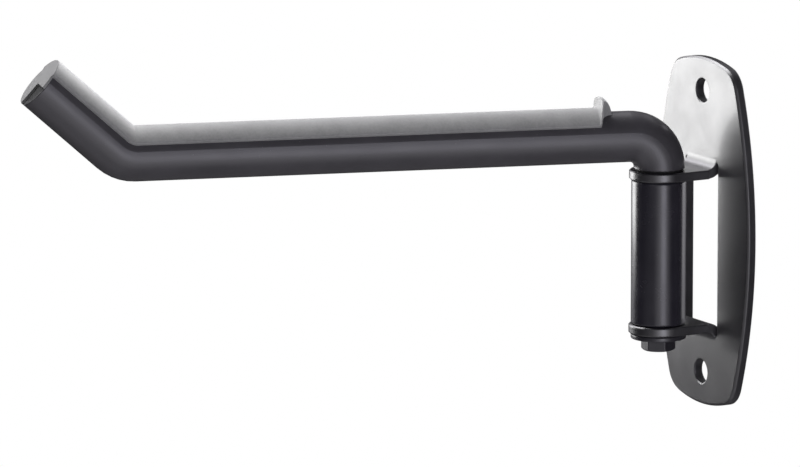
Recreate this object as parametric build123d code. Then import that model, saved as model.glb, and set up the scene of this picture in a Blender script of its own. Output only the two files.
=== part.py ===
"""Bicycle wall rack: a stamped wall plate with a swinging tube arm and a rubber cover on the arm.

The frame's origin is the centre of the plate's back face, which lies on the wall.
The wall is the XZ plane, the room is on its -Y side, and +Z is up. All sizes are in millimetres.
"""
import os
from math import cos, radians, sin

from build123d import *

# Wall plate, seen from the room
SHEET = 4.0
PLATE_HEIGHT = 153.0
PLATE_WIDTH = 75.6
SHOULDER_HEIGHT = 143.8
SHOULDER_WIDTH = 50.0
PLATE_CORNER_RADIUS = 12.0
PLATE_EDGE_CHAMFER = 0.9
SCREW_HOLE = 10.5
SCREW_PITCH = 124.0
SCREW_CHAMFER = 0.3

# Ears bent out of the window
EAR_WIDTH = 26.0
EAR_GAP = 63.8
EAR_DROP = 6.7
EAR_BEND_RADIUS = 4.0
EAR_CHAMFER = 0.5
PIVOT_REACH = 21.8
WINDOW_SLIT = 0.2
RELIEF_WIDTH = 1.6
RELIEF_RISE = 2.5

# Pivot
PIN_DIAMETER = 16.0
RUNNING_CLEARANCE = 0.05
END_PLAY = 0.1
BUSH_WALL = 1.0
BUSH_FLANGE_DIAMETER = 21.0
BUSH_FLANGE = 0.8
SLEEVE_DIAMETER = 24.0
SLEEVE_CHAMFER = 1.2
WASHER_DIAMETER = 24.0
WASHER_THICKNESS = 2.0
WASHER_HOLE_CLEARANCE = 0.4
BOLT_DIAMETER = 8.0
BOLT_LENGTH = 22.0
BOLT_HEAD = 5.3
BOLT_ACROSS_FLATS = 13.0
BOLT_HEAD_TURN = -7.5
BOLT_CROWN_INSET = 0.1
BOLT_CROWN_SLOPE = 2.4
PIN_PROUD = 0.3
TAPPED_DEPTH_SPARE = 4.0
PIN_NOSE_HEIGHT = 6.0
PIN_NOSE_DIAMETER = 9.0

# Arm tube
TUBE_DIAMETER = 22.2
TUBE_WALL = 2.0
ARM_RISE = 15.0
ARM_REACH = 236.0
TIP_LENGTH = 48.2
TIP_ANGLE = 42.0
BEND_RADIUS = 13.5
ARM_SWING = -17.4
PLUG_LENGTH = 8.0

# Rubber cover
COVER_THICKNESS = 1.9
COVER_HALF_ANGLE = 57.5
COVER_EDGE_RADIUS = 0.7
FLAP_THICKNESS = 1.0
LIP_FRONT = 27.6
LIP_HEIGHT = 6.8
LIP_WIDTH = 15.2
LIP_CORNER_RADIUS = 4.5
LIP_SIDE_THICKNESS = 0.4
LIP_ROOT_HEIGHT = 1.3
LIP_ROOT_LENGTH = 1.5
RIB_WIDTH = 4.4
RIB_TOP_DEPTH = 2.2
RIB_FOOT_DEPTH = 5.8
RIB_BULGE = 0.4

# Places worked out from the sizes above
PIVOT_Y = -(SHEET + PIVOT_REACH)
EAR_MIDDLE = -EAR_DROP
UPPER_EAR_BOTTOM = EAR_MIDDLE + EAR_GAP / 2
UPPER_EAR_TOP = UPPER_EAR_BOTTOM + SHEET
LOWER_EAR_TOP = EAR_MIDDLE - EAR_GAP / 2
LOWER_EAR_BOTTOM = LOWER_EAR_TOP - SHEET
EAR_ROOT_Y = -(SHEET + EAR_BEND_RADIUS)
HALF_ROOT = EAR_WIDTH / 2 + WINDOW_SLIT - RELIEF_WIDTH
BUSH_DIAMETER = PIN_DIAMETER + 2 * (RUNNING_CLEARANCE + BUSH_WALL)
BUSH_BORE = PIN_DIAMETER + 2 * RUNNING_CLEARANCE
STEM_END = UPPER_EAR_TOP + BUSH_FLANGE + END_PLAY
PIN_END = LOWER_EAR_BOTTOM - PIN_PROUD
ARM_Z = UPPER_EAR_TOP + ARM_RISE
TUBE_RADIUS = TUBE_DIAMETER / 2
TUBE_BORE_RADIUS = TUBE_RADIUS - TUBE_WALL
COVER_RADIUS = TUBE_RADIUS + COVER_THICKNESS

# The arm's plane: local x runs out along the arm, local y is up
ARM_DIRECTION = Vector(sin(radians(ARM_SWING)), -cos(radians(ARM_SWING)), 0)
UP = Vector(0, 0, 1)
NEAR_SIDE = UP.cross(ARM_DIRECTION)
TIP_DIRECTION = ARM_DIRECTION * cos(radians(TIP_ANGLE)) + UP * sin(radians(TIP_ANGLE))
ARM_PLANE = Plane(origin=(0, PIVOT_Y, ARM_Z), x_dir=ARM_DIRECTION, z_dir=-NEAR_SIDE)
TIP_CORNER = (ARM_REACH, 0)
TIP_END = (ARM_REACH + TIP_LENGTH * cos(radians(TIP_ANGLE)), TIP_LENGTH * sin(radians(TIP_ANGLE)))


def pivot_cylinder(diameter, bottom, top):
    """A round bar on the pivot axis between two heights."""
    middle = Pos(0, PIVOT_Y, (bottom + top) / 2)
    return middle * Cylinder(diameter / 2, top - bottom)


def plate_blank():
    """The flat plate: four shallow arcs with rounded corners and a broken front edge."""
    side = PLATE_WIDTH / 2
    end = PLATE_HEIGHT / 2
    corner_x = SHOULDER_WIDTH / 2
    corner_z = SHOULDER_HEIGHT / 2
    arcs = [
        ThreePointArc((corner_x, -corner_z), (side, 0), (corner_x, corner_z)),
        ThreePointArc((corner_x, corner_z), (0, end), (-corner_x, corner_z)),
        ThreePointArc((-corner_x, corner_z), (-side, 0), (-corner_x, -corner_z)),
        ThreePointArc((-corner_x, -corner_z), (0, -end), (corner_x, -corner_z)),
    ]
    outline = make_face(arcs)
    outline = fillet(outline.vertices(), PLATE_CORNER_RADIUS)
    blank = extrude(Plane.XZ * outline, SHEET)
    front = blank.faces().sort_by(Axis.Y)[0]
    return chamfer(front.edges(), PLATE_EDGE_CHAMFER)


def screw_holes():
    """Cutters for the two wall screws, with a chamfer on the room side."""
    radius = SCREW_HOLE / 2
    through = Cylinder(radius, 3 * SHEET)
    mouth = Pos(0, 0, SHEET - SCREW_CHAMFER / 2) * Cone(radius, radius + SCREW_CHAMFER, SCREW_CHAMFER)
    cutter = through + mouth
    places = [Location((0, 0, side * SCREW_PITCH / 2)) for side in (1, -1)]
    return [place * Plane.XZ.location * cutter for place in places]


def window_cutter():
    """The punched window: the strip that the bends fill, with a relief notch along each side."""
    top = UPPER_EAR_TOP + EAR_BEND_RADIUS
    bottom = LOWER_EAR_BOTTOM - EAR_BEND_RADIUS
    opening = Pos(0, (top + bottom) / 2) * Rectangle(2 * HALF_ROOT, top - bottom)
    notch_length = UPPER_EAR_TOP - LOWER_EAR_BOTTOM + 2 * RELIEF_RISE
    notch_z = (UPPER_EAR_TOP + LOWER_EAR_BOTTOM) / 2
    for side in (1, -1):
        notch = SlotOverall(notch_length, RELIEF_WIDTH, rotation=90)
        opening += Pos(side * (HALF_ROOT + RELIEF_WIDTH / 2), notch_z) * notch
    return extrude(Plane.XZ * opening, SHEET, both=True)


def ear(flat_bottom, bend_side):
    """One ear: a flat tongue with a round end, and the quarter bend that joins it to the plate.

    bend_side is 1 where the plate goes on above the ear, and -1 where it goes on below.
    """
    tongue = Pos(0, PIVOT_Y) * Circle(EAR_WIDTH / 2)
    tongue += Pos(0, (PIVOT_Y + EAR_ROOT_Y) / 2) * Rectangle(EAR_WIDTH, EAR_ROOT_Y - PIVOT_Y)
    flat = extrude(Plane.XY.offset(flat_bottom) * tongue, SHEET)
    rim = flat.edges().filter_by(Plane.XY)
    rim = [edge for edge in rim if edge.center().Y < EAR_ROOT_Y - EAR_CHAMFER]
    flat = chamfer(rim, EAR_CHAMFER)
    outer_radius = EAR_BEND_RADIUS + SHEET
    bend_z = flat_bottom + SHEET / 2 + bend_side * (SHEET / 2 + EAR_BEND_RADIUS)
    ring = Circle(outer_radius) - Circle(EAR_BEND_RADIUS)
    quarter = Pos(outer_radius / 2, -bend_side * outer_radius / 2) * Rectangle(outer_radius, outer_radius)
    section = Plane(origin=(-HALF_ROOT, EAR_ROOT_Y, bend_z), x_dir=(0, 1, 0), z_dir=(1, 0, 0))
    bend = extrude(section * (ring & quarter), 2 * HALF_ROOT)
    return flat + bend


def wall_plate():
    """The stamped plate with its window, ears, pivot holes and screw holes."""
    plate = plate_blank() - window_cutter()
    plate += ear(UPPER_EAR_BOTTOM, 1)
    plate += ear(LOWER_EAR_BOTTOM, -1)
    plate -= pivot_cylinder(BUSH_DIAMETER, LOWER_EAR_BOTTOM - SHEET, UPPER_EAR_TOP + SHEET)
    for cutter in screw_holes():
        plate -= cutter
    return plate


def bush(bottom, top):
    """A plain bearing bush pressed into an ear."""
    body = pivot_cylinder(BUSH_DIAMETER, bottom, top)
    return body - pivot_cylinder(BUSH_BORE, bottom - SHEET, top + SHEET)


def upper_bush():
    """The upper bush, with a flange that carries the end of the arm."""
    flange_top = UPPER_EAR_TOP + BUSH_FLANGE
    body = pivot_cylinder(BUSH_DIAMETER, UPPER_EAR_BOTTOM, UPPER_EAR_TOP)
    body += pivot_cylinder(BUSH_FLANGE_DIAMETER, UPPER_EAR_TOP, flange_top)
    return body - pivot_cylinder(BUSH_BORE, UPPER_EAR_BOTTOM - SHEET, flange_top + SHEET)


def pivot_sleeve():
    """The barrel between the ears, with chamfered ends."""
    bottom = LOWER_EAR_TOP + END_PLAY
    top = UPPER_EAR_BOTTOM - END_PLAY
    body = pivot_cylinder(SLEEVE_DIAMETER, bottom, top)
    body = chamfer(body.edges().filter_by(GeomType.CIRCLE), SLEEVE_CHAMFER)
    return body - pivot_cylinder(BUSH_BORE, bottom - SHEET, top + SHEET)


def pivot_pin():
    """The pin welded into the end of the arm, with a nose inside the elbow and a tapped lower end."""
    spigot_top = ARM_Z - BEND_RADIUS
    pin = pivot_cylinder(PIN_DIAMETER, PIN_END, STEM_END)
    pin += pivot_cylinder(2 * TUBE_BORE_RADIUS, STEM_END, spigot_top)
    nose = Cone(TUBE_BORE_RADIUS - END_PLAY, PIN_NOSE_DIAMETER / 2, PIN_NOSE_HEIGHT)
    pin += Pos(0, PIVOT_Y, spigot_top + PIN_NOSE_HEIGHT / 2) * nose
    tapped_top = PIN_END - WASHER_THICKNESS + BOLT_LENGTH + TAPPED_DEPTH_SPARE
    return pin - pivot_cylinder(BOLT_DIAMETER, PIN_END, tapped_top)


def retaining_washer():
    """The large flat washer clamped to the pin's lower end."""
    bottom = PIN_END - WASHER_THICKNESS
    hole = BOLT_DIAMETER + WASHER_HOLE_CLEARANCE
    return pivot_cylinder(WASHER_DIAMETER, bottom, PIN_END) - pivot_cylinder(hole, bottom - SHEET, PIN_END + SHEET)


def pivot_bolt():
    """The hex bolt: a head with its corners turned off, and a plain shank in the tapped hole."""
    head_top = PIN_END - WASHER_THICKNESS
    hexagon = RegularPolygon(BOLT_ACROSS_FLATS / 2, 6, major_radius=False, rotation=BOLT_HEAD_TURN)
    head = Pos(0, PIVOT_Y, head_top - BOLT_HEAD) * extrude(hexagon, BOLT_HEAD)
    crown_radius = BOLT_ACROSS_FLATS / 2 - BOLT_CROWN_INSET
    crown_rise = 2 * BOLT_HEAD
    turned = Cone(crown_radius, crown_radius + BOLT_CROWN_SLOPE * crown_rise, crown_rise)
    head = head & (Pos(0, PIVOT_Y, head_top - BOLT_HEAD + crown_rise / 2) * turned)
    shank = pivot_cylinder(BOLT_DIAMETER, head_top, head_top + BOLT_LENGTH)
    return head + shank


def arm_path():
    """The tube's centre line, from the stem's end round the elbow and out to the tip."""
    stem = (0, STEM_END - ARM_Z)
    return ARM_PLANE * FilletPolyline(stem, (0, 0), TIP_CORNER, TIP_END, radius=BEND_RADIUS)


def arm_tube():
    """The bent tube."""
    path = arm_path()
    section = Circle(TUBE_RADIUS) - Circle(TUBE_BORE_RADIUS)
    start = Plane(origin=path @ 0, z_dir=path % 0)
    return sweep(start * section, path=path)


def cover_band(outer_radius, corner_radius):
    """The cover's cross-section on the top of the tube, in a plane whose y axis is up."""
    start = 90 - COVER_HALF_ANGLE
    outer = CenterArc((0, 0), outer_radius, start, 2 * COVER_HALF_ANGLE)
    inner = CenterArc((0, 0), TUBE_RADIUS, start, 2 * COVER_HALF_ANGLE)
    band = make_face([outer, inner, Line(inner @ 0, outer @ 0), Line(inner @ 1, outer @ 1)])
    corners = band.vertices().sort_by(lambda corner: corner.center().length)[-2:]
    return fillet(corners, corner_radius)


def arm_section(distance):
    """A plane across the straight arm, at a distance from the pivot axis."""
    centre = Vector(0, PIVOT_Y, ARM_Z) + ARM_DIRECTION * distance
    return Plane(origin=centre, x_dir=NEAR_SIDE, z_dir=ARM_DIRECTION)


def lip_front_outline():
    """The lip seen along the arm: an upright tab with rounded shoulders."""
    crest = TUBE_RADIUS + LIP_HEIGHT
    tab = Pos(0, crest / 2) * Rectangle(LIP_WIDTH, crest)
    shoulders = tab.vertices().sort_by(Axis.Y)[-2:]
    return fillet(shoulders, LIP_CORNER_RADIUS)


def lip_side_outline():
    """The lip seen from the side: an upright front and a back that bulges down to the tube."""
    crest = TUBE_RADIUS + LIP_HEIGHT
    top_back = Vector(-RIB_TOP_DEPTH, crest)
    foot_back = Vector(-RIB_FOOT_DEPTH, TUBE_RADIUS)
    bulge = (foot_back - top_back).normalized().rotate(Axis.Z, -90) * RIB_BULGE
    back = ThreePointArc(top_back, (top_back + foot_back) / 2 + bulge, foot_back)
    rest = Polyline(foot_back, (-RIB_FOOT_DEPTH, 0), (0, 0), (0, crest), top_back)
    return make_face([back, rest])


def lip_plan_outline():
    """The lip seen from above: a thin wall that flares into a rib at its middle."""
    half = LIP_WIDTH / 2
    rib = RIB_WIDTH / 2
    flare = RIB_FOOT_DEPTH - LIP_SIDE_THICKNESS
    middle_x = rib + (half - rib) * (1 - cos(radians(45)))
    middle_y = -LIP_SIDE_THICKNESS - flare * (1 - cos(radians(45)))
    edges = [Polyline((half, -LIP_SIDE_THICKNESS), (half, 0), (-half, 0), (-half, -LIP_SIDE_THICKNESS))]
    for side in (1, -1):
        corner = (side * half, -LIP_SIDE_THICKNESS)
        edges.append(ThreePointArc(corner, (side * middle_x, middle_y), (side * rib, -RIB_FOOT_DEPTH)))
    edges.append(Line((rib, -RIB_FOOT_DEPTH), (-rib, -RIB_FOOT_DEPTH)))
    return make_face(edges)


def cover_lip():
    """The raised lip: what its front, side and plan outlines have in common, down to the tube."""
    section = arm_section(LIP_FRONT)
    side = Plane(origin=section.origin, x_dir=ARM_DIRECTION, z_dir=-NEAR_SIDE)
    plan = Plane(origin=section.origin, x_dir=-NEAR_SIDE, z_dir=UP)
    lip = extrude(section * lip_front_outline(), -RIB_FOOT_DEPTH)
    lip &= extrude(side * lip_side_outline(), LIP_WIDTH, both=True)
    lip &= extrude(plan * lip_plan_outline(), TUBE_RADIUS + LIP_HEIGHT)
    return lip - extrude(section * Circle(TUBE_RADIUS), TUBE_DIAMETER, both=True)


def lip_root():
    """The thickened start of the band, which tapers away from the lip."""
    thick = cover_band(COVER_RADIUS + LIP_ROOT_HEIGHT, COVER_EDGE_RADIUS)
    thin = cover_band(COVER_RADIUS, COVER_EDGE_RADIUS)
    return loft([arm_section(LIP_FRONT) * thick, arm_section(LIP_FRONT + LIP_ROOT_LENGTH) * thin])


def tip_section():
    """The plane of the tube's outer end."""
    return Plane(origin=ARM_PLANE.from_local_coords(TIP_END), x_dir=NEAR_SIDE, z_dir=TIP_DIRECTION)


def tube_plug():
    """The plug that closes the tube's outer end."""
    return extrude(tip_section() * Circle(TUBE_BORE_RADIUS), -PLUG_LENGTH)


def cover_flap():
    """The flap over the tube's end, open in its lower near quarter."""
    disc = Circle(TUBE_RADIUS) + cover_band(COVER_RADIUS, COVER_EDGE_RADIUS)
    quarter = Pos(TUBE_RADIUS / 2, -TUBE_RADIUS / 2) * Rectangle(TUBE_RADIUS, TUBE_RADIUS)
    return extrude(tip_section() * (disc - quarter), FLAP_THICKNESS)


def arm_cover():
    """The rubber cover: lip and root, band along the arm and tip, and end flap, moulded in one."""
    path = ARM_PLANE * FilletPolyline((LIP_FRONT, 0), TIP_CORNER, TIP_END, radius=BEND_RADIUS)
    band = sweep(arm_section(LIP_FRONT) * cover_band(COVER_RADIUS, COVER_EDGE_RADIUS), path=path)
    return band + lip_root() + cover_lip() + cover_flap()


def main():
    """Write one file per piece."""
    pieces = {
        "wall_plate": wall_plate(),
        "upper_bush": upper_bush(),
        "lower_bush": bush(LOWER_EAR_BOTTOM, LOWER_EAR_TOP),
        "pivot_sleeve": pivot_sleeve(),
        "pivot_pin": pivot_pin(),
        "arm_tube": arm_tube(),
        "tube_plug": tube_plug(),
        "retaining_washer": retaining_washer(),
        "pivot_bolt": pivot_bolt(),
        "arm_cover": arm_cover(),
    }
    os.makedirs("parts", exist_ok=True)
    for name, piece in pieces.items():
        export_step(piece, f"parts/{name}.step")
        print(name, "solids", len(piece.solids()), "volume", round(piece.volume, 1))


main()
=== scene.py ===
from math import cos, radians, sin, tan

import bpy
import numpy as np
from mathutils import Matrix, Vector


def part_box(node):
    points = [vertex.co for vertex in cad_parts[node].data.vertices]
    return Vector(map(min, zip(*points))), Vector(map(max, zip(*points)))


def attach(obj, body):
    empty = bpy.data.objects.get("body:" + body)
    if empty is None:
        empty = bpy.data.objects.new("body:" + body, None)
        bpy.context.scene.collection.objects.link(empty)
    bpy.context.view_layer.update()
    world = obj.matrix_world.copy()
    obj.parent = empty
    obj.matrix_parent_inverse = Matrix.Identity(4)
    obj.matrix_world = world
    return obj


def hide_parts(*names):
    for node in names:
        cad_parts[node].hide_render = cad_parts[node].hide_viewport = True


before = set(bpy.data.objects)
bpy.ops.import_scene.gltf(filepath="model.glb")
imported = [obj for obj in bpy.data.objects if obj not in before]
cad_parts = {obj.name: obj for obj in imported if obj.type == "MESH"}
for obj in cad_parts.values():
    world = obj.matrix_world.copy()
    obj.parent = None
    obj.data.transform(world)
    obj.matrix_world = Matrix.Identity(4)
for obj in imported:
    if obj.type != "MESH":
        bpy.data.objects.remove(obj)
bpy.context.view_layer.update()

# Camera, fitted to the photograph's landmarks, in pixels, degrees and metres, with the sensor in millimetres
PHOTO_WIDTH = 800
PHOTO_HEIGHT = 467
CAMERA_AZIMUTH = 60.04
CAMERA_ELEVATION = 10.64
CAMERA_DISTANCE = 4.0
CAMERA_CLIP_END = 100.0
PHOTO_SCALE = 2308.0
PIVOT_PIXEL = (658.63, 253.88)
PIVOT_POINT = Vector((0.0, -0.0258, -0.00804))
SENSOR_WIDTH = 36.0

# Barrel and washer, in millimetres, as all sizes down to the finishes are, with angles in degrees
MM = 0.001
BARREL_BORE = 8.05
BARREL_BORE_EDGE = 0.3
BARREL_END_RADIUS = 1.2
WASHER_HOLE = 4.2
WASHER_HOLE_EDGE = 0.2
WASHER_EDGE_RADIUS = 0.45
RING_STEPS = 160
RING_CORNER_STEPS = 9
TURNED_SHARP_ANGLE = 30

# Bolt: the seat's rounding is a row of drops below the seat, and read backwards a row of insets
BOLT_HEAD = 5.3
BOLT_ACROSS_FLATS = 13.0
BOLT_TURN = -7.5
BOLT_STEPS = 192
BOLT_CORNER_POWER = 90
BOLT_CROWN_RADIUS = 6.35
BOLT_CROWN_SLOPE = 2.4
BOLT_CROWN_HEIGHT = 1.1
BOLT_CROWN_POWER = 30
BOLT_CROWN_ROWS = 12
BOLT_FACE_SHARES = (0.02, 0.5, 0.9, 0.97)
BOLT_SIDE_HEIGHTS = (2.0, 3.5)
BOLT_SEAT_ROUNDING = (0.35, 0.12, 0.02, 0.0)
BOLT_SEAT_RING = 0.4
BOLT_SHANK = 4.0
BOLT_CHAMFER = 0.6
BOLT_END_CENTRE = 0.1

# Arm
TUBE_RADIUS = 11.1
ARM_REACH = 236.0
ARM_RISE_ABOVE_PIVOT_EAR = 15.0
STEM_LIFT_ABOVE_PIVOT_EAR = 0.9
ARM_SWING = -17.4
TIP_LENGTH = 48.2
TIP_ANGLE = 42.0
BEND_RADIUS = 13.5

# Cover: band, lip with its rib and flange, and end flap
COVER_RADIUS = 13.0
COVER_HALF_ANGLE = 57.5
COVER_EDGE_RADIUS = 0.7
COVER_EDGE_STEPS = 7
COVER_STEPS = 181
COVER_BURY = 0.15
COVER_LINING = 0.1
COVER_SHARP_ANGLE = 40
LIP_FRONT = 26.7
LIP_CREST = 17.8
LIP_HALF_WIDTH = 8.3
LIP_SIDE_THICKNESS = 0.4
LIP_EDGE_RADIUS = 0.4
LIP_SHOULDER_POWER = 24.0
LIP_ROOT_RADIUS = 1.6
# How fast the lip front's painted highlight fades round its root fillet
LIP_ROOT_TONE = 1.4
RIB_TOP_DEPTH = 0.5
RIB_FOOT_DEPTH = 4.7
RIB_BACK_POWER = 1.75
RIB_MARGIN = 0.3
FLANGE_FOOT_SHARE = 0.35
FLANGE_THICKNESS = 0.8
FLANGE_NARROWING_START = 0.6
END_RAKE = 2.2
RAKE_POWER = 2
RAKE_FADE = 14.0
BAND_START_GAP = 0.5
BAND_INTO_FLAP = 0.2
RIB_ROWS = 40
BROW_ROWS = 16
FRONT_ROWS = 6
ROOT_ROWS = 14
STRAIGHT_ROWS = 80
BEND_ROWS = 25
TIP_ROWS = 14
FLAP_THICKNESS = 1.0
FLAP_EDGE_RADIUS = 0.45
FLAP_EDGE_STEPS = 7
FLAP_START = 90
FLAP_END = -180
FLAP_STEPS = 271
FLAP_STEP_ANGLE = 3
FLAP_INNER_SHARES = (0.0, 0.5, 0.95)
FLAP_CENTRE = 0.02

# Shared effects: ranges of noise, of cosines between normals, and of distance from a speck's middle
GRAIN_FINER = 4.0
GRAIN_FINE_HEIGHT = 0.33
PATCH_RANGE = (0.3, 0.7)
EDGE_COSINES = (0.995, 0.86)
EDGE_BREAKUP = (0.32, 0.58)
SPECK_REACH = (0.16, 0.06)
SPECK_RARITY = 0.86
SPECK_TILT = (-0.3, 0.9)
SPECK_LEAST = 0.15
BEVEL_SAMPLES = 6

# Colours, roughness from smooth to dull patches, relief in millimetres, and shares of one colour in another
DUST = (0.30, 0.29, 0.28)
DUST_SHARE = 0.5
BLACK_EDGE = (0.09, 0.09, 0.095)
CLOUDY_LIFT = 1.18
PLATE_BLACK = (0.010, 0.0094, 0.0115)
BARREL_BLACK = (0.0165, 0.0155, 0.021)
TUBE_BLACK = (0.0445, 0.0425, 0.047)
FASTENER_BLACK = (0.019, 0.018, 0.022)
NYLON_BLACK = (0.018, 0.018, 0.018)
CUT_END = (0.012, 0.012, 0.013)
CUT_END_DEPTH = 0.4
CUT_END_ROUGHNESS = 0.85
RUBBER_DARK = (0.196, 0.197, 0.193)
RUBBER_PALE = (0.235, 0.237, 0.231)
RUBBER_BLOOM = (0.335, 0.338, 0.326)
RUBBER_BLOOM_SHARE = 0.25
RUBBER_EDGE_SHARE = 0.3
RUBBER_EDGE_RADIUS = 0.6
# A paler grey painted on the lip's front as a painted highlight
RUBBER_PAINTED_LIGHT = (0.225, 0.227, 0.221)
# A darker grey painted on the end flap's outer face as a painted shade
RUBBER_PAINTED_SHADE = (0.09, 0.091, 0.088)
RUBBER_ROUGHNESS = (0.56, 0.7)
RUBBER_RELIEF = 0.005
STEEL_OILED = (0.36, 0.35, 0.34)
STEEL_CLEAN = (0.48, 0.48, 0.49)
STEEL_EDGE = (0.62, 0.62, 0.63)
STEEL_EDGE_RADIUS = 0.5
STEEL_ROUGHNESS = (0.24, 0.4)
STEEL_RELIEF = 0.02

# Studio, in metres: a glow has its azimuth, elevation, cosines where it starts and is full, and strength
WHITE = (1.0, 1.0, 1.0)
NEAR_BOX_TINT = (0.965, 0.95, 1.11)
ROOM_TINT = (0.995, 0.98, 1.03)
ROOM_GLOWS = {
    "front_low": (76, -20, 0.80, 0.99, 1.3),
    "front_mid": (76, 4, 0.90, 0.99, 0.7),
    "front_up": (40, 18, 0.85, 1.00, 0.55),
    "right_back": (130, 20, 0.80, 1.00, 0.15),
    "wall_side": (182, -5, 0.85, 0.99, 0.85),
    "wall_narrow": (178, 0, 0.95, 0.995, 1.2),
    "wall_side_up": (190, 22, 0.80, 1.00, 1.5),
    "far_top": (282, 50, 0.80, 1.00, 5.4),
    "left_rim": (281, -3, 0.90, 0.99, 0.6),
    "left_under": (300, -25, 0.90, 1.00, 0.08),
    "room_low": (20, -45, 0.70, 1.00, 0.45),
    "floor_bounce": (0, -90, 0.30, 1.00, 0.2),
}
FLOOR_HEIGHT = -0.6
FLOOR_WIDTH = 40.0

barrel_low, barrel_high = (np.array(corner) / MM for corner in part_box("pivot_sleeve"))
washer_low, washer_high = (np.array(corner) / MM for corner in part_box("retaining_washer"))
bolt_low, bolt_high = (np.array(corner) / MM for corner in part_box("pivot_bolt"))
tube_low = np.array(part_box("arm_tube")[0]) / MM
pivot_axis = (barrel_low[:2] + barrel_high[:2]) / 2
barrel_radius = (barrel_high[0] - barrel_low[0]) / 2
washer_radius = (washer_high[0] - washer_low[0]) / 2
arm_height = tube_low[2] + ARM_RISE_ABOVE_PIVOT_EAR - STEM_LIFT_ABOVE_PIVOT_EAR
bend_tangent = BEND_RADIUS * tan(radians(TIP_ANGLE) / 2)
bend_start = ARM_REACH - bend_tangent
bend_length = BEND_RADIUS * radians(TIP_ANGLE)
arm_length = ARM_REACH - 2 * bend_tangent + bend_length + TIP_LENGTH


def view_direction(azimuth, elevation):
    """The unit vector toward an azimuth, turned from the room's -Y side towards +X, and an elevation."""
    turn = radians(azimuth)
    tilt = radians(elevation)
    return Vector((sin(turn) * cos(tilt), -cos(turn) * cos(tilt), sin(tilt)))


def make_camera():
    """A long lens at the photograph's angle, aimed so that the pivot falls on its pixel."""
    back = view_direction(CAMERA_AZIMUTH, CAMERA_ELEVATION)
    right = Vector((cos(radians(CAMERA_AZIMUTH)), sin(radians(CAMERA_AZIMUTH)), 0.0))
    up = back.cross(right)
    offset_right = (PIVOT_PIXEL[0] - PHOTO_WIDTH / 2) / PHOTO_SCALE
    offset_up = (PHOTO_HEIGHT / 2 - PIVOT_PIXEL[1]) / PHOTO_SCALE
    aim = PIVOT_POINT - right * offset_right - up * offset_up
    data = bpy.data.cameras.new("photo_camera")
    data.sensor_width = SENSOR_WIDTH
    data.lens = PHOTO_SCALE * CAMERA_DISTANCE * SENSOR_WIDTH / PHOTO_WIDTH
    data.clip_end = CAMERA_CLIP_END
    camera = bpy.data.objects.new("photo_camera", data)
    turn = Matrix((right, up, back)).transposed().to_4x4()
    camera.matrix_world = Matrix.Translation(aim + back * CAMERA_DISTANCE) @ turn
    bpy.context.scene.collection.objects.link(camera)
    bpy.context.scene.camera = camera


# Surfaces


def grid_faces(rows, columns, wrap_rows):
    """The quads of a grid of points whose columns, and rows if asked, are joined end to end."""
    index = np.arange(rows * columns).reshape(rows, columns)
    if wrap_rows:
        index = np.vstack([index, index[:1]])
    index = np.hstack([index, index[:, :1]])
    corners = [index[:-1, :-1], index[1:, :-1], index[1:, 1:], index[:-1, 1:]]
    return np.stack(corners, axis=-1).reshape(-1, 4)


def is_inside_out(points, faces):
    """Whether a closed shape's volume, summed over its quads from its middle, isn't positive."""
    a, b, c, d = (points[faces[:, corner]] - points.mean(axis=0) for corner in range(4))
    return np.einsum("ij,ij->", np.cross(a, b), c) + np.einsum("ij,ij->", np.cross(a, c), d) <= 0


def make_piece(name, shells, sharp_angle):
    """One object from closed grids, each (points in millimetres, wrap_rows): columns always wrap.

    A grid whose rows don't wrap gets a flat face on its first and last row.
    """
    places = []
    faces = []
    for grid, wrap_rows in shells:
        rows, columns = grid.shape[:2]
        first = sum(len(part) for part in places)
        points = grid.reshape(-1, 3)
        quads = grid_faces(rows, columns, wrap_rows)
        order = slice(None, None, -1) if is_inside_out(points, quads) else slice(None)
        faces += (first + quads[:, order]).tolist()
        if not wrap_rows:
            row = np.arange(columns)
            ends = [row, row[::-1] + (rows - 1) * columns]
            faces += [(first + end[order]).tolist() for end in ends]
        places.append(points)
    mesh = bpy.data.meshes.new(name)
    mesh.from_pydata((np.vstack(places) * MM).tolist(), [], faces)
    mesh.validate()
    mesh.polygons.foreach_set("use_smooth", np.ones(len(mesh.polygons), dtype=bool))
    mesh.set_sharp_from_angle(angle=radians(sharp_angle))
    piece = bpy.data.objects.new(name, mesh)
    bpy.context.scene.collection.objects.link(piece)
    return piece


def rounded_profile(corners, radii, steps):
    """A closed outline: each corner becomes an arc that leaves and meets its two sides smoothly.

    The arc's centre is on the corner's bisector, and its points turn evenly from one side to the other.
    """
    corners = np.array(corners, dtype=float)
    share = np.linspace(0, 1, steps)[:, None]
    arcs = []
    for place, corner in enumerate(corners):
        before = corners[place - 1] - corner
        after = corners[(place + 1) % len(corners)] - corner
        before /= np.linalg.norm(before)
        after /= np.linalg.norm(after)
        half = np.arccos(np.clip(before @ after, -1, 1)) / 2
        bisector = (before + after) / np.linalg.norm(before + after)
        centre = corner + bisector * radii[place] / sin(half)
        start = corner + before * radii[place] / tan(half) - centre
        end = corner + after * radii[place] / tan(half) - centre
        turn = np.pi - 2 * half
        arcs.append(centre + (start * np.sin((1 - share) * turn) + end * np.sin(share * turn)) / sin(turn))
    return np.vstack(arcs)


def lathe(profile, steps):
    """A closed outline of (radius, height) turned about the pivot axis: x = r cos t, y = r sin t."""
    turn = np.linspace(0, 2 * np.pi, steps, endpoint=False)[:, None]
    radius, height = profile.T
    x = pivot_axis[0] + radius * np.cos(turn)
    y = pivot_axis[1] + radius * np.sin(turn)
    return np.stack([x, y, np.broadcast_to(height, x.shape)], axis=-1)


def ring(bore, radius, low, high, edge, bore_edge):
    """A ring turned from a rectangle between two radii and two heights, with its four edges rounded."""
    corners = [(bore, low), (radius, low), (radius, high), (bore, high)]
    return lathe(rounded_profile(corners, [bore_edge, edge, edge, bore_edge], RING_CORNER_STEPS), RING_STEPS)


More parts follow.
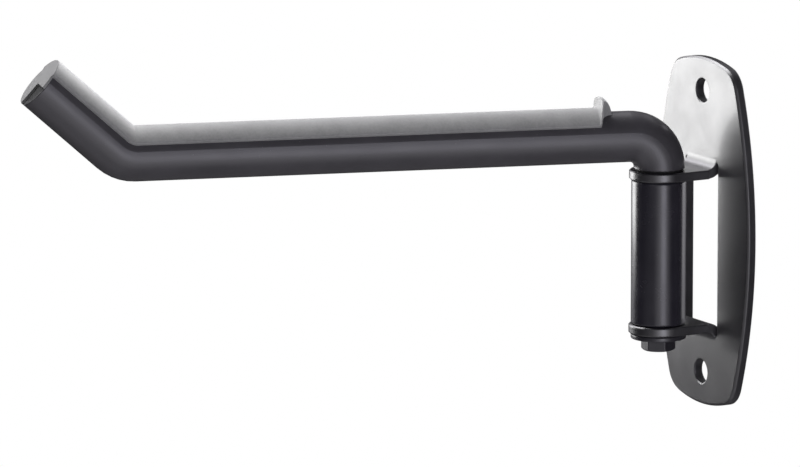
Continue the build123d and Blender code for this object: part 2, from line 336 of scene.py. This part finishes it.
def hex_bolt():
    """The bolt, row by row from the middle of its face to the end of its shank.

    Round the head, each of the six flats has a term: the cosine of the angle to it, over its distance.
    1/r to the power p is the sum of the terms to the power p, which rounds the corners. The hexagon and
    the crown's cone are joined in the same way, so that the smaller radius holds.
    """
    turn = np.linspace(0, 2 * np.pi, BOLT_STEPS, endpoint=False)
    flats = radians(BOLT_TURN + 30) + np.arange(6)[:, None] * np.pi / 3
    toward = np.clip(np.cos(turn - flats), 0, None)
    hexagon = BOLT_ACROSS_FLATS / 2 / (toward ** BOLT_CORNER_POWER).sum(axis=0) ** (1 / BOLT_CORNER_POWER)
    rounding = np.array(BOLT_SEAT_ROUNDING)
    crown = np.linspace(0, BOLT_CROWN_HEIGHT, BOLT_CROWN_ROWS)
    height = np.concatenate([crown, BOLT_SIDE_HEIGHTS, BOLT_HEAD - rounding])
    cone = BOLT_CROWN_RADIUS + BOLT_CROWN_SLOPE * height[:, None]
    power = float(BOLT_CROWN_POWER)
    radius = (hexagon ** -power + cone ** -power) ** (-1 / power)
    radius[-len(rounding):] -= rounding[::-1, None]
    face_rows = np.array(BOLT_FACE_SHARES)[:, None] * radius[0]
    end = bolt_high[2] - bolt_low[2]
    shank = np.array([
        (BOLT_SHANK + BOLT_SEAT_RING, BOLT_HEAD),
        (BOLT_SHANK, BOLT_HEAD),
        (BOLT_SHANK, end - BOLT_CHAMFER),
        (BOLT_SHANK - BOLT_CHAMFER, end),
        (BOLT_END_CENTRE, end),
    ])
    rows_radius = np.vstack([face_rows, radius, np.repeat(shank[:, :1], len(turn), axis=1)])
    rows_height = np.concatenate([np.zeros(len(face_rows)), height, shank[:, 1]])
    x = pivot_axis[0] + rows_radius * np.cos(turn)
    y = pivot_axis[1] + rows_radius * np.sin(turn)
    z = bolt_low[2] + np.repeat(rows_height[:, None], len(turn), axis=1)
    return np.stack([x, y, z], axis=-1)


def arm_axes():
    """Unit vectors of the arm: out along it, its near side, and up."""
    out = np.array([sin(radians(ARM_SWING)), -cos(radians(ARM_SWING)), 0.0])
    up = np.array([0.0, 0.0, 1.0])
    return out, np.cross(up, out), up


def arm_stations(length):
    """Centre points, and the upright of the cross-section, at lengths along the arm's centre line.

    The line is straight, then turns up by the tip angle on the bend radius, then is straight again.
    """
    out, _, up = arm_axes()
    turn = np.clip((length - bend_start) / BEND_RADIUS, 0, radians(TIP_ANGLE))
    before = np.minimum(length, bend_start)
    after = np.maximum(length - bend_start - bend_length, 0)
    along = before + BEND_RADIUS * np.sin(turn) + after * np.cos(turn)
    rise = BEND_RADIUS * (1 - np.cos(turn)) + after * np.sin(turn)
    origin = np.array([pivot_axis[0], pivot_axis[1], arm_height])
    centre = origin + along[:, None] * out + rise[:, None] * up
    upright = np.cos(turn)[:, None] * up - np.sin(turn)[:, None] * out
    return centre, upright


def tube_end():
    """The middle of the tube's end, and the unit vectors there: near side, upright and onward."""
    centre, upright = arm_stations(np.array([arm_length]))
    near = arm_axes()[1]
    return centre[0], near, upright[0], np.cross(near, upright[0])


def smooth_step(share):
    """From 0 to 1 with level ends: 3 x squared less 2 x cubed."""
    share = np.clip(share, 0, 1)
    return share * share * (3 - 2 * share)


def lip_radius(angle, setback):
    """The lip's reach from the tube's axis, at an angle from upright and a setback from its front.

    Each slice is a strip of that width cut off by a circle round the axis: 1/r to the power p is the
    sum of the two limits to the power p, which rounds the shoulders. The width shrinks along a hollow
    arc from the wall to the rib, the height falls along a rounded slope from crest to tube, and both
    lose a quarter circle at the front.
    """
    hollow = RIB_FOOT_DEPTH - LIP_SIDE_THICKNESS
    from_foot = np.clip(RIB_FOOT_DEPTH - setback, 0, hollow)
    edge = np.clip(1 - setback / LIP_EDGE_RADIUS, 0, 1)
    rounding = LIP_EDGE_RADIUS * (1 - np.sqrt(1 - edge ** 2))
    width = LIP_HALF_WIDTH - np.sqrt(hollow ** 2 - from_foot ** 2) - rounding
    fall = np.clip((setback - RIB_TOP_DEPTH) / (RIB_FOOT_DEPTH - RIB_TOP_DEPTH), 0, 1)
    slope = (1 - fall ** RIB_BACK_POWER) ** (1 / RIB_BACK_POWER)
    height = TUBE_RADIUS - COVER_BURY + (LIP_CREST - TUBE_RADIUS) * slope - rounding
    power = LIP_SHOULDER_POWER
    return (np.abs(np.sin(angle) / width) ** power + height ** -power) ** (-1 / power)


def band_edges():
    """Angles round the tube across the band, and how far its rounded long edges lie under its skin."""
    half = radians(COVER_HALF_ANGLE)
    corner = COVER_EDGE_RADIUS / COVER_RADIUS
    turn = np.linspace(0, np.pi / 2, COVER_EDGE_STEPS)
    edge_angle = half - corner + corner * np.cos(turn)
    edge_inset = COVER_EDGE_RADIUS * (1 - np.sin(turn))
    middle = np.linspace(half - corner, corner - half, COVER_STEPS)[1:-1]
    angle = np.concatenate([edge_angle, middle, -edge_angle[::-1]])
    inset = np.concatenate([edge_inset, np.zeros(len(middle)), edge_inset[::-1]])
    return angle, inset


def cover_band():
    """The cover along the arm, as rows across it: each has a length along the arm and a reach per angle.

    From the wall outwards the rows go over the lip and the thin flange beside it, down their front,
    round a hollow fillet that shrinks to the sides, and along the plain band to the tip. Towards the
    sides the front leans out by the square of the angle. Where nothing stands out the rows are sunk
    just under the tube's surface. With the points comes their tone, which marks a painted highlight: 1 on
    the lip's front, fading to 0 over its edge and its root.
    """
    angle, inset = band_edges()
    skin = COVER_RADIUS - inset
    sunk = TUBE_RADIUS - COVER_BURY
    aside = np.abs(angle) / radians(COVER_HALF_ANGLE)
    closing = smooth_step((aside - FLANGE_NARROWING_START) / (1 - FLANGE_NARROWING_START))
    fillet = LIP_ROOT_RADIUS * (1 - (1 - FLANGE_FOOT_SHARE) * closing)

    behind = np.linspace(RIB_FOOT_DEPTH + RIB_MARGIN, LIP_EDGE_RADIUS, RIB_ROWS)
    brow = LIP_EDGE_RADIUS * (1 - np.sin(np.linspace(0, np.pi / 2, BROW_ROWS)))[1:]
    setback = np.concatenate([behind, brow])[:, None]
    hump = np.sqrt(np.clip(1 - (setback / FLANGE_THICKNESS) ** 2, 0, 1))
    flange = np.where(setback < FLANGE_THICKNESS, skin + fillet * hump, sunk)
    standing = np.maximum(np.maximum(lip_radius(angle, setback), flange), sunk)

    share = np.linspace(0, 1, FRONT_ROWS)[1:-1, None]
    front = standing[-1] + share * (skin + fillet - standing[-1])
    turn = np.linspace(0, np.pi / 2, ROOT_ROWS)[:, None]
    hollow_out = fillet * (1 - np.cos(turn))
    hollow = skin + fillet * (1 - np.sin(turn))

    straight = np.linspace(LIP_FRONT + LIP_ROOT_RADIUS + BAND_START_GAP, bend_start, STRAIGHT_ROWS)
    round_bend = bend_start + np.linspace(0, bend_length, BEND_ROWS)[1:]
    tip = np.linspace(round_bend[-1], arm_length + BAND_INTO_FLAP, TIP_ROWS)[1:]
    plain = np.concatenate([straight, round_bend, tip])[:, None]

    rows = [
        (LIP_FRONT - setback, standing, smooth_step(1 - setback / LIP_EDGE_RADIUS)),
        (LIP_FRONT, front, np.ones(share.shape)),
        (LIP_FRONT + hollow_out, hollow, smooth_step(LIP_ROOT_TONE * np.cos(turn))),
        (plain, skin, np.zeros(plain.shape)),
    ]
    shapes = [(len(tone), len(angle)) for _, _, tone in rows]
    length = np.vstack([np.broadcast_to(row[0], shape) for row, shape in zip(rows, shapes)])
    radius = np.vstack([np.broadcast_to(row[1], shape) for row, shape in zip(rows, shapes)])
    row_tone = np.vstack([row[2] for row in rows])
    near_lip = np.clip(1 - (length - LIP_FRONT) / RAKE_FADE, 0, 1)
    length = length + END_RAKE * aside ** RAKE_POWER * near_lip

    centre, upright = (part.reshape(*length.shape, 3) for part in arm_stations(length.ravel()))
    near = arm_axes()[1]
    spoke = np.sin(angle)[None, :, None] * near + np.cos(angle)[None, :, None] * upright
    outer = centre + radius[:, :, None] * spoke
    inner = (centre + (sunk - COVER_LINING) * spoke)[:, ::-1]
    return np.concatenate([outer, inner], axis=1), np.repeat(row_tone, 2 * len(angle))


def cover_flap():
    """The flap over the tube's end: a thin rounded-edge section carried through three quarters of a turn.

    Its reach is the tube's radius, and the cover's radius where the band runs into it. With the points
    comes their tone, which marks a painted shade: it goes from 0 at the back to -1 on the flap's outer face.
    """
    turn = np.linspace(radians(FLAP_START), radians(FLAP_END), FLAP_STEPS)
    inside_band = (radians(COVER_HALF_ANGLE) - np.abs(turn)) / radians(FLAP_STEP_ANGLE)
    reach = TUBE_RADIUS + (COVER_RADIUS - TUBE_RADIUS) * smooth_step(inside_band + 0.5)
    edge = FLAP_EDGE_RADIUS
    arc = np.linspace(0, np.pi / 2, FLAP_EDGE_STEPS)
    inner = np.array(FLAP_INNER_SHARES)
    back = np.zeros(len(inner) + 1)
    face = np.ones(len(inner))
    share_out = np.concatenate([inner, np.ones(1 + len(arc)), inner[::-1]])
    pull_in = np.concatenate([back, edge * (1 - np.cos(arc)), edge * face])
    depth = np.concatenate([back, FLAP_THICKNESS - edge + edge * np.sin(arc), FLAP_THICKNESS * face])
    spread = share_out * (reach[:, None] - pull_in) + FLAP_CENTRE
    centre, near, upright, onward = tube_end()
    spoke = np.sin(turn)[:, None, None] * near + np.cos(turn)[:, None, None] * upright
    points = centre + spread[:, :, None] * spoke + depth[:, None] * onward
    face_share = smooth_step((depth - FLAP_THICKNESS + edge) / edge)
    return points, np.tile(-face_share, len(turn))


# Finishes


def add_node(tree, kind, inputs=None, **settings):
    """A node with its settings, and each named input set to a value or joined to another node's output."""
    node = tree.nodes.new(kind)
    for name, value in settings.items():
        setattr(node, name, value)
    for name, value in (inputs or {}).items():
        if isinstance(value, bpy.types.NodeSocket):
            tree.links.new(value, node.inputs[name])
        else:
            node.inputs[name].default_value = value
    return node


def product(tree, first, second):
    """One value times another."""
    return add_node(tree, "ShaderNodeMath", {0: first, 1: second}, operation="MULTIPLY").outputs[0]


def dot_product(tree, first, second):
    """How far two unit vectors agree, as the cosine of the angle between them."""
    node = add_node(tree, "ShaderNodeVectorMath", {0: first, 1: second}, operation="DOT_PRODUCT")
    return node.outputs["Value"]


def smooth_rise(tree, value, start, full, top=1.0):
    """From 0 where the value is at its start to the top where it is full, with level ends."""
    rise = {"Value": value, "From Min": start, "From Max": full, "To Max": top}
    return add_node(tree, "ShaderNodeMapRange", rise, interpolation_type="SMOOTHSTEP").outputs["Result"]


def between(tree, amount, low, high):
    """A value from low to high as the amount goes from 0 to 1."""
    span = {"Value": amount, "To Min": low, "To Max": high}
    return add_node(tree, "ShaderNodeMapRange", span).outputs["Result"]


def blend_colours(tree, amount, first, second):
    """From the first colour to the second as the amount goes from 0 to 1."""
    node = add_node(tree, "ShaderNodeMix", {"Factor": amount}, data_type="RGBA")
    for socket, value in (("A", first), ("B", second)):
        target = [item for item in node.inputs if item.name == socket and item.type == "RGBA"][0]
        if isinstance(value, bpy.types.NodeSocket):
            tree.links.new(value, target)
        else:
            target.default_value = (*value, 1.0)
    return [item for item in node.outputs if item.type == "RGBA"][0]


def noise(tree, place, scale, detail, roughness=0.5):
    """A noise from 0 to 1 over the place."""
    inputs = {"Vector": place, "Scale": scale, "Detail": detail, "Roughness": roughness}
    return add_node(tree, "ShaderNodeTexNoise", inputs).outputs["Fac"]


def make_group(name, values, output):
    """An empty node group that takes a place and named values, each with a usual one, and gives a number."""
    tree = bpy.data.node_groups.new(name, "ShaderNodeTree")
    tree.interface.new_socket("Place", in_out="INPUT", socket_type="NodeSocketVector")
    for label, usual in values.items():
        socket = tree.interface.new_socket(label, in_out="INPUT", socket_type="NodeSocketFloat")
        socket.default_value = usual
    tree.interface.new_socket(output, in_out="OUTPUT", socket_type="NodeSocketFloat")
    given = tree.nodes.new("NodeGroupInput").outputs
    result = tree.nodes.new("NodeGroupOutput").inputs[output]
    return tree, given, result


def make_grain_group():
    """Fine relief: two noises, the second four times as fine and a third as high."""
    tree, given, result = make_group("surface_grain", {"Scale": 1000.0}, "Height")
    coarse = noise(tree, given["Place"], given["Scale"], detail=2.0)
    fine = noise(tree, given["Place"], product(tree, given["Scale"], GRAIN_FINER), detail=1.0)
    heights = {0: fine, 1: GRAIN_FINE_HEIGHT, 2: coarse}
    height = add_node(tree, "ShaderNodeMath", heights, operation="MULTIPLY_ADD")
    tree.links.new(height.outputs[0], result)
    return tree


def make_patch_group():
    """Slow unevenness from 0 to 1: a broad noise with its middle range stretched."""
    tree, given, result = make_group("slow_patches", {"Scale": 60.0}, "Amount")
    broad = noise(tree, given["Place"], given["Scale"], detail=4.0, roughness=0.6)
    tree.links.new(smooth_rise(tree, broad, *PATCH_RANGE), result)
    return tree


def make_edge_group():
    """Wear on edges: how far a rounded-off normal leaves the true one, broken up by a noise."""
    tree, given, result = make_group("edge_wear", {"Radius": 0.0008, "Breakup": 400.0}, "Mask")
    rounded = add_node(tree, "ShaderNodeBevel", {"Radius": given["Radius"]}, samples=BEVEL_SAMPLES)
    true_normal = add_node(tree, "ShaderNodeNewGeometry").outputs["Normal"]
    agree = dot_product(tree, rounded.outputs["Normal"], true_normal)
    edge = smooth_rise(tree, agree, *EDGE_COSINES)
    uneven = noise(tree, given["Place"], given["Breakup"], detail=3.0)
    broken = smooth_rise(tree, uneven, *EDGE_BREAKUP)
    tree.links.new(product(tree, edge, broken), result)
    return tree


def make_speck_group():
    """Sparse pale specks of dust, in one cell of seven, and more of them on faces that look up."""
    tree, given, result = make_group("dust_specks", {"Scale": 900.0}, "Mask")
    pattern = {"Vector": given["Place"], "Scale": given["Scale"], "Randomness": 1.0}
    cells = add_node(tree, "ShaderNodeTexVoronoi", pattern)
    speck = smooth_rise(tree, cells.outputs["Distance"], *SPECK_REACH)
    chosen = add_node(tree, "ShaderNodeSeparateColor", {"Color": cells.outputs["Color"]}).outputs["Red"]
    limit = {0: chosen, 1: SPECK_RARITY}
    rare = add_node(tree, "ShaderNodeMath", limit, operation="GREATER_THAN").outputs[0]
    normal = add_node(tree, "ShaderNodeNewGeometry").outputs["Normal"]
    tilt = add_node(tree, "ShaderNodeSeparateXYZ", {"Vector": normal}).outputs["Z"]
    lean = {"Value": tilt, "From Min": SPECK_TILT[0], "From Max": SPECK_TILT[1], "To Min": SPECK_LEAST}
    upward = add_node(tree, "ShaderNodeMapRange", lean).outputs["Result"]
    tree.links.new(product(tree, product(tree, speck, rare), upward), result)
    return tree


grain_group = make_grain_group()
patch_group = make_patch_group()
edge_group = make_edge_group()
speck_group = make_speck_group()


def use_group(tree, group, inputs):
    """What one of the shared groups gives, placed in a material with its own values."""
    return add_node(tree, "ShaderNodeGroup", inputs, node_tree=group).outputs[0]


def shader_of(material):
    """The material's main shader."""
    return material.node_tree.nodes["Principled BSDF"]


def start_finish(name):
    """A material with its tree, its shader and the place of each point in the object's own frame."""
    material = bpy.data.materials.new(name)
    material.use_nodes = True
    tree = material.node_tree
    place = add_node(tree, "ShaderNodeTexCoord").outputs["Object"]
    return material, tree, shader_of(material), place


def add_relief(tree, shader, height, depth, normal=None):
    """The shader's normal, tilted by a height of so many millimetres from the given or the true normal."""
    relief = {"Height": height, "Distance": depth * MM}
    if normal is not None:
        relief["Normal"] = normal
    bump = add_node(tree, "ShaderNodeBump", relief)
    tree.links.new(bump.outputs["Normal"], shader.inputs["Normal"])


def coated_finish(name, colour, roughness, peel_scale, peel_depth, edge_radius, wear):
    """A black coat on metal or plastic: uneven gloss, a fine skin, pale edges and a few specks of dust."""
    material, tree, shader, place = start_finish(name)
    grain = use_group(tree, grain_group, {"Place": place, "Scale": peel_scale})
    patches = use_group(tree, patch_group, {"Place": place, "Scale": 70.0})
    edges = use_group(tree, edge_group, {"Place": place, "Radius": edge_radius * MM})
    specks = use_group(tree, speck_group, {"Place": place, "Scale": 700.0})
    cloudy = blend_colours(tree, patches, colour, [CLOUDY_LIFT * part for part in colour])
    edged = blend_colours(tree, between(tree, edges, 0.0, wear), cloudy, BLACK_EDGE)
    dusty = blend_colours(tree, between(tree, specks, 0.0, DUST_SHARE), edged, DUST)
    tree.links.new(dusty, shader.inputs["Base Color"])
    tree.links.new(between(tree, patches, *roughness), shader.inputs["Roughness"])
    rounded = add_node(tree, "ShaderNodeBevel", {"Radius": edge_radius * MM}, samples=BEVEL_SAMPLES)
    add_relief(tree, shader, grain, peel_depth, rounded.outputs["Normal"])
    return material


def dull_cut_end(material):
    """The tube's sawn end, dark and dull: it starts where the length along the tip nears its end."""
    tree = material.node_tree
    shader = shader_of(material)
    centre, _, _, onward = tube_end()
    end = float(centre @ onward) * MM
    place = add_node(tree, "ShaderNodeTexCoord").outputs["Object"]
    length = dot_product(tree, place, Vector(onward))
    share = smooth_rise(tree, length, end - CUT_END_DEPTH * MM, end)
    coat = shader.inputs["Base Color"].links[0].from_socket
    tree.links.new(blend_colours(tree, share, coat, CUT_END), shader.inputs["Base Color"])
    gloss = shader.inputs["Roughness"].links[0].from_socket
    tree.links.new(between(tree, share, gloss, CUT_END_ROUGHNESS), shader.inputs["Roughness"])


def rubber_finish():
    """Moulded grey rubber: a dull skin with fine grain, slow mottling and a bloom of paler grey.

    The cover's tone paints it a paler grey where it goes to 1, a painted highlight on the lip's front, and a
    darker grey at -1, a painted shade on the flap's outer face.
    """
    material, tree, shader, place = start_finish("moulded_grey_rubber")
    grain = use_group(tree, grain_group, {"Place": place, "Scale": 1500.0})
    mottle = use_group(tree, patch_group, {"Place": place, "Scale": 110.0})
    bloom = use_group(tree, patch_group, {"Place": place, "Scale": 900.0})
    edges = use_group(tree, edge_group, {"Place": place, "Radius": RUBBER_EDGE_RADIUS * MM})
    base = blend_colours(tree, mottle, RUBBER_DARK, RUBBER_PALE)
    bloomed = blend_colours(tree, between(tree, bloom, 0.0, RUBBER_BLOOM_SHARE), base, RUBBER_BLOOM)
    edged = blend_colours(tree, between(tree, edges, 0.0, RUBBER_EDGE_SHARE), bloomed, RUBBER_BLOOM)
    tone = add_node(tree, "ShaderNodeAttribute", attribute_name="tone").outputs["Fac"]
    # Painted highlight: the lip's front turns paler where the tone is 1
    painted_lit = blend_colours(tree, tone, edged, RUBBER_PAINTED_LIGHT)
    # Painted shade: the flap's outer face turns darker where the tone is -1
    painted_shade = blend_colours(tree, product(tree, tone, -1.0), painted_lit, RUBBER_PAINTED_SHADE)
    tree.links.new(painted_shade, shader.inputs["Base Color"])
    tree.links.new(between(tree, bloom, *RUBBER_ROUGHNESS), shader.inputs["Roughness"])
    shader.inputs["Specular IOR Level"].default_value = 0.4
    shader.inputs["Sheen Weight"].default_value = 0.6
    shader.inputs["Sheen Roughness"].default_value = 0.4
    add_relief(tree, shader, grain, RUBBER_RELIEF)
    return material


def turned_steel_finish():
    """Bright turned steel: rings cut round the axis, so the height is a wave along it, a little uneven."""
    material, tree, shader, place = start_finish("turned_steel_pin")
    along = add_node(tree, "ShaderNodeSeparateXYZ", {"Vector": place}).outputs["Z"]
    column = add_node(tree, "ShaderNodeCombineXYZ", {"Z": along}).outputs["Vector"]
    cuts = use_group(tree, grain_group, {"Place": column, "Scale": 2600.0})
    patches = use_group(tree, patch_group, {"Place": place, "Scale": 90.0})
    edges = use_group(tree, edge_group, {"Place": place, "Radius": STEEL_EDGE_RADIUS * MM})
    uneven = blend_colours(tree, patches, STEEL_OILED, STEEL_CLEAN)
    tree.links.new(blend_colours(tree, edges, uneven, STEEL_EDGE), shader.inputs["Base Color"])
    tree.links.new(between(tree, patches, *STEEL_ROUGHNESS), shader.inputs["Roughness"])
    shader.inputs["Metallic"].default_value = 1.0
    add_relief(tree, shader, cuts, STEEL_RELIEF)
    return material


def plate_coat():
    """The plate's enamel, with a thin clear coat over a strong reflection."""
    material = coated_finish(
        "gloss_black_enamel",
        PLATE_BLACK,
        roughness=(0.33, 0.40),
        peel_scale=330.0,
        peel_depth=0.006,
        edge_radius=0.8,
        wear=0.45,
    )
    shader = shader_of(material)
    shader.inputs["Coat Weight"].default_value = 0.2
    shader.inputs["Coat Roughness"].default_value = 0.13
    shader.inputs["Specular IOR Level"].default_value = 1.0
    return material


def tube_coat():
    """The tube's satin powder coat, which ends at the sawn end."""
    material = coated_finish(
        "satin_powder_coat",
        TUBE_BLACK,
        roughness=(0.33, 0.38),
        peel_scale=1300.0,
        peel_depth=0.015,
        edge_radius=0.4,
        wear=0.12,
    )
    dull_cut_end(material)
    return material


def nylon_skin():
    """The bushes' and the plug's black nylon, which hardly shines."""
    material = coated_finish(
        "moulded_black_nylon",
        NYLON_BLACK,
        roughness=(0.55, 0.7),
        peel_scale=800.0,
        peel_depth=0.005,
        edge_radius=0.5,
        wear=0.3,
    )
    shader_of(material).inputs["Specular IOR Level"].default_value = 0.08
    return material


plate_finish = plate_coat()
barrel_finish = coated_finish(
    "gloss_black_moulding",
    BARREL_BLACK,
    roughness=(0.22, 0.28),
    peel_scale=450.0,
    peel_depth=0.004,
    edge_radius=0.7,
    wear=0.35,
)
tube_finish = tube_coat()
fastener_finish = coated_finish(
    "black_oxide_steel",
    FASTENER_BLACK,
    roughness=(0.28, 0.40),
    peel_scale=1100.0,
    peel_depth=0.01,
    edge_radius=0.3,
    wear=0.5,
)
nylon_finish = nylon_skin()
rubber = rubber_finish()
steel = turned_steel_finish()


# Studio


def soft_light(name, place, aim, width, height, spread, brightness, colour):
    """An even rectangle of light, with a grid that keeps it to an angle.

    Its power is its brightness times its area times pi.
    """
    data = bpy.data.lights.new(name, "AREA")
    data.shape = "RECTANGLE"
    data.size = width
    data.size_y = height
    data.energy = brightness * width * height * np.pi
    data.spread = radians(spread)
    data.color = colour
    light = bpy.data.objects.new(name, data)
    facing = Vector(aim) - Vector(place)
    light.matrix_world = Matrix.Translation(place) @ facing.to_track_quat("-Z", "Y").to_matrix().to_4x4()
    light.visible_camera = False
    bpy.context.scene.collection.objects.link(light)


def make_world():
    """A white room: plain white where the camera looks past the object, and for all else a sum of glows.

    Each glow rises smoothly with the cosine of the angle to its own side of the room.
    """
    world = bpy.data.worlds.new("white_studio")
    bpy.context.scene.world = world
    world.use_nodes = True
    tree = world.node_tree
    tree.nodes.clear()
    direction = add_node(tree, "ShaderNodeTexCoord").outputs["Generated"]
    level = 0.0
    for azimuth, elevation, start, full, strength in ROOM_GLOWS.values():
        cosine = dot_product(tree, direction, view_direction(azimuth, elevation))
        glow = smooth_rise(tree, cosine, start, full, strength)
        level = add_node(tree, "ShaderNodeMath", {0: glow, 1: level}, operation="ADD").outputs[0]
    room = add_node(tree, "ShaderNodeBackground", {"Color": (*ROOM_TINT, 1.0), "Strength": level})
    paper = add_node(tree, "ShaderNodeBackground", {"Color": (*WHITE, 1.0), "Strength": 1.0})
    path = add_node(tree, "ShaderNodeLightPath")
    sides = {"Fac": path.outputs["Is Camera Ray"], 1: room.outputs[0], 2: paper.outputs[0]}
    mix = add_node(tree, "ShaderNodeMixShader", sides)
    add_node(tree, "ShaderNodeOutputWorld", {"Surface": mix.outputs[0]})


def make_floor():
    """A wide pale floor below the rack, as bright as the paper behind it, and clear from below."""
    half = FLOOR_WIDTH / 2
    mesh = bpy.data.meshes.new("studio_floor")
    corners = [(-half, -half), (half, -half), (half, half), (-half, half)]
    mesh.from_pydata([(x, y, FLOOR_HEIGHT) for x, y in corners], [], [(0, 1, 2, 3)])
    floor = bpy.data.objects.new("studio_floor", mesh)
    bpy.context.scene.collection.objects.link(floor)
    material = bpy.data.materials.new("pale_floor")
    material.use_nodes = True
    tree = material.node_tree
    tree.nodes.clear()
    white = add_node(tree, "ShaderNodeEmission", {"Color": (*WHITE, 1.0), "Strength": 1.0})
    clear = add_node(tree, "ShaderNodeBsdfTransparent")
    backfacing = add_node(tree, "ShaderNodeNewGeometry").outputs["Backfacing"]
    sides = {"Fac": backfacing, 1: white.outputs[0], 2: clear.outputs[0]}
    mix = add_node(tree, "ShaderNodeMixShader", sides)
    add_node(tree, "ShaderNodeOutputMaterial", {"Surface": mix.outputs[0]})
    mesh.materials.append(material)
    floor.visible_diffuse = False
    floor.visible_glossy = False
    floor.visible_shadow = False


make_camera()
bpy.context.scene.view_settings.view_transform = "Standard"
make_world()
make_floor()
soft_light(
    "left_panel",
    place=(-0.485, -0.199, 0.13),
    aim=(-0.035, 0.061, 0.13),
    width=0.36,
    height=0.44,
    spread=65,
    brightness=1.34,
    colour=WHITE,
)
soft_light(
    "far_top_panel",
    place=(-0.30, -0.20, 0.52),
    aim=(-0.06, -0.17, 0.06),
    width=0.4,
    height=0.3,
    spread=180,
    brightness=5.2,
    colour=WHITE,
)
soft_light(
    "tip_box",
    place=(-0.12, -0.11, 0.155),
    aim=(-0.088, -0.285, 0.08),
    width=0.06,
    height=0.06,
    spread=40,
    brightness=1.5,
    colour=WHITE,
)
soft_light(
    "near_box",
    place=(1.46, -0.30, 0.06),
    aim=(0.0, -0.03, 0.0),
    width=0.5,
    height=1.2,
    spread=180,
    brightness=2.3,
    colour=NEAR_BOX_TINT,
)

# Pieces

barrel_ring = ring(
    BARREL_BORE, barrel_radius, barrel_low[2], barrel_high[2], BARREL_END_RADIUS, BARREL_BORE_EDGE
)
barrel = make_piece("pivot_barrel", [(barrel_ring, True)], TURNED_SHARP_ANGLE)
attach(barrel, "wall_bracket")
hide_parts("pivot_sleeve")

washer_ring = ring(
    WASHER_HOLE, washer_radius, washer_low[2], washer_high[2], WASHER_EDGE_RADIUS, WASHER_HOLE_EDGE
)
washer = make_piece("turned_washer", [(washer_ring, True)], TURNED_SHARP_ANGLE)
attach(washer, "swing_arm")
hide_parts("retaining_washer")

bolt = make_piece("hex_bolt", [(hex_bolt(), False)], TURNED_SHARP_ANGLE)
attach(bolt, "swing_arm")
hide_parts("pivot_bolt")

band, band_tone = cover_band()
flap, flap_tone = cover_flap()
cover = make_piece("rubber_cover", [(band, False), (flap, False)], COVER_SHARP_ANGLE)
# The tone attribute carries the lip front's painted highlight and the flap face's painted shade
tone = cover.data.attributes.new("tone", "FLOAT", "POINT")
tone.data.foreach_set("value", np.concatenate([band_tone, flap_tone]))
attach(cover, "swing_arm")
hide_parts("arm_cover")

finishes = [
    (barrel, barrel_finish),
    (washer, fastener_finish),
    (bolt, fastener_finish),
    (cover, rubber),
    (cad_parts["wall_plate"], plate_finish),
    (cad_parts["arm_tube"], tube_finish),
    (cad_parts["upper_bush"], nylon_finish),
    (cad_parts["lower_bush"], nylon_finish),
    (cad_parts["tube_plug"], nylon_finish),
    (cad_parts["pivot_pin"], steel),
]
for piece, finish in finishes:
    piece.data.materials.clear()
    piece.data.materials.append(finish)
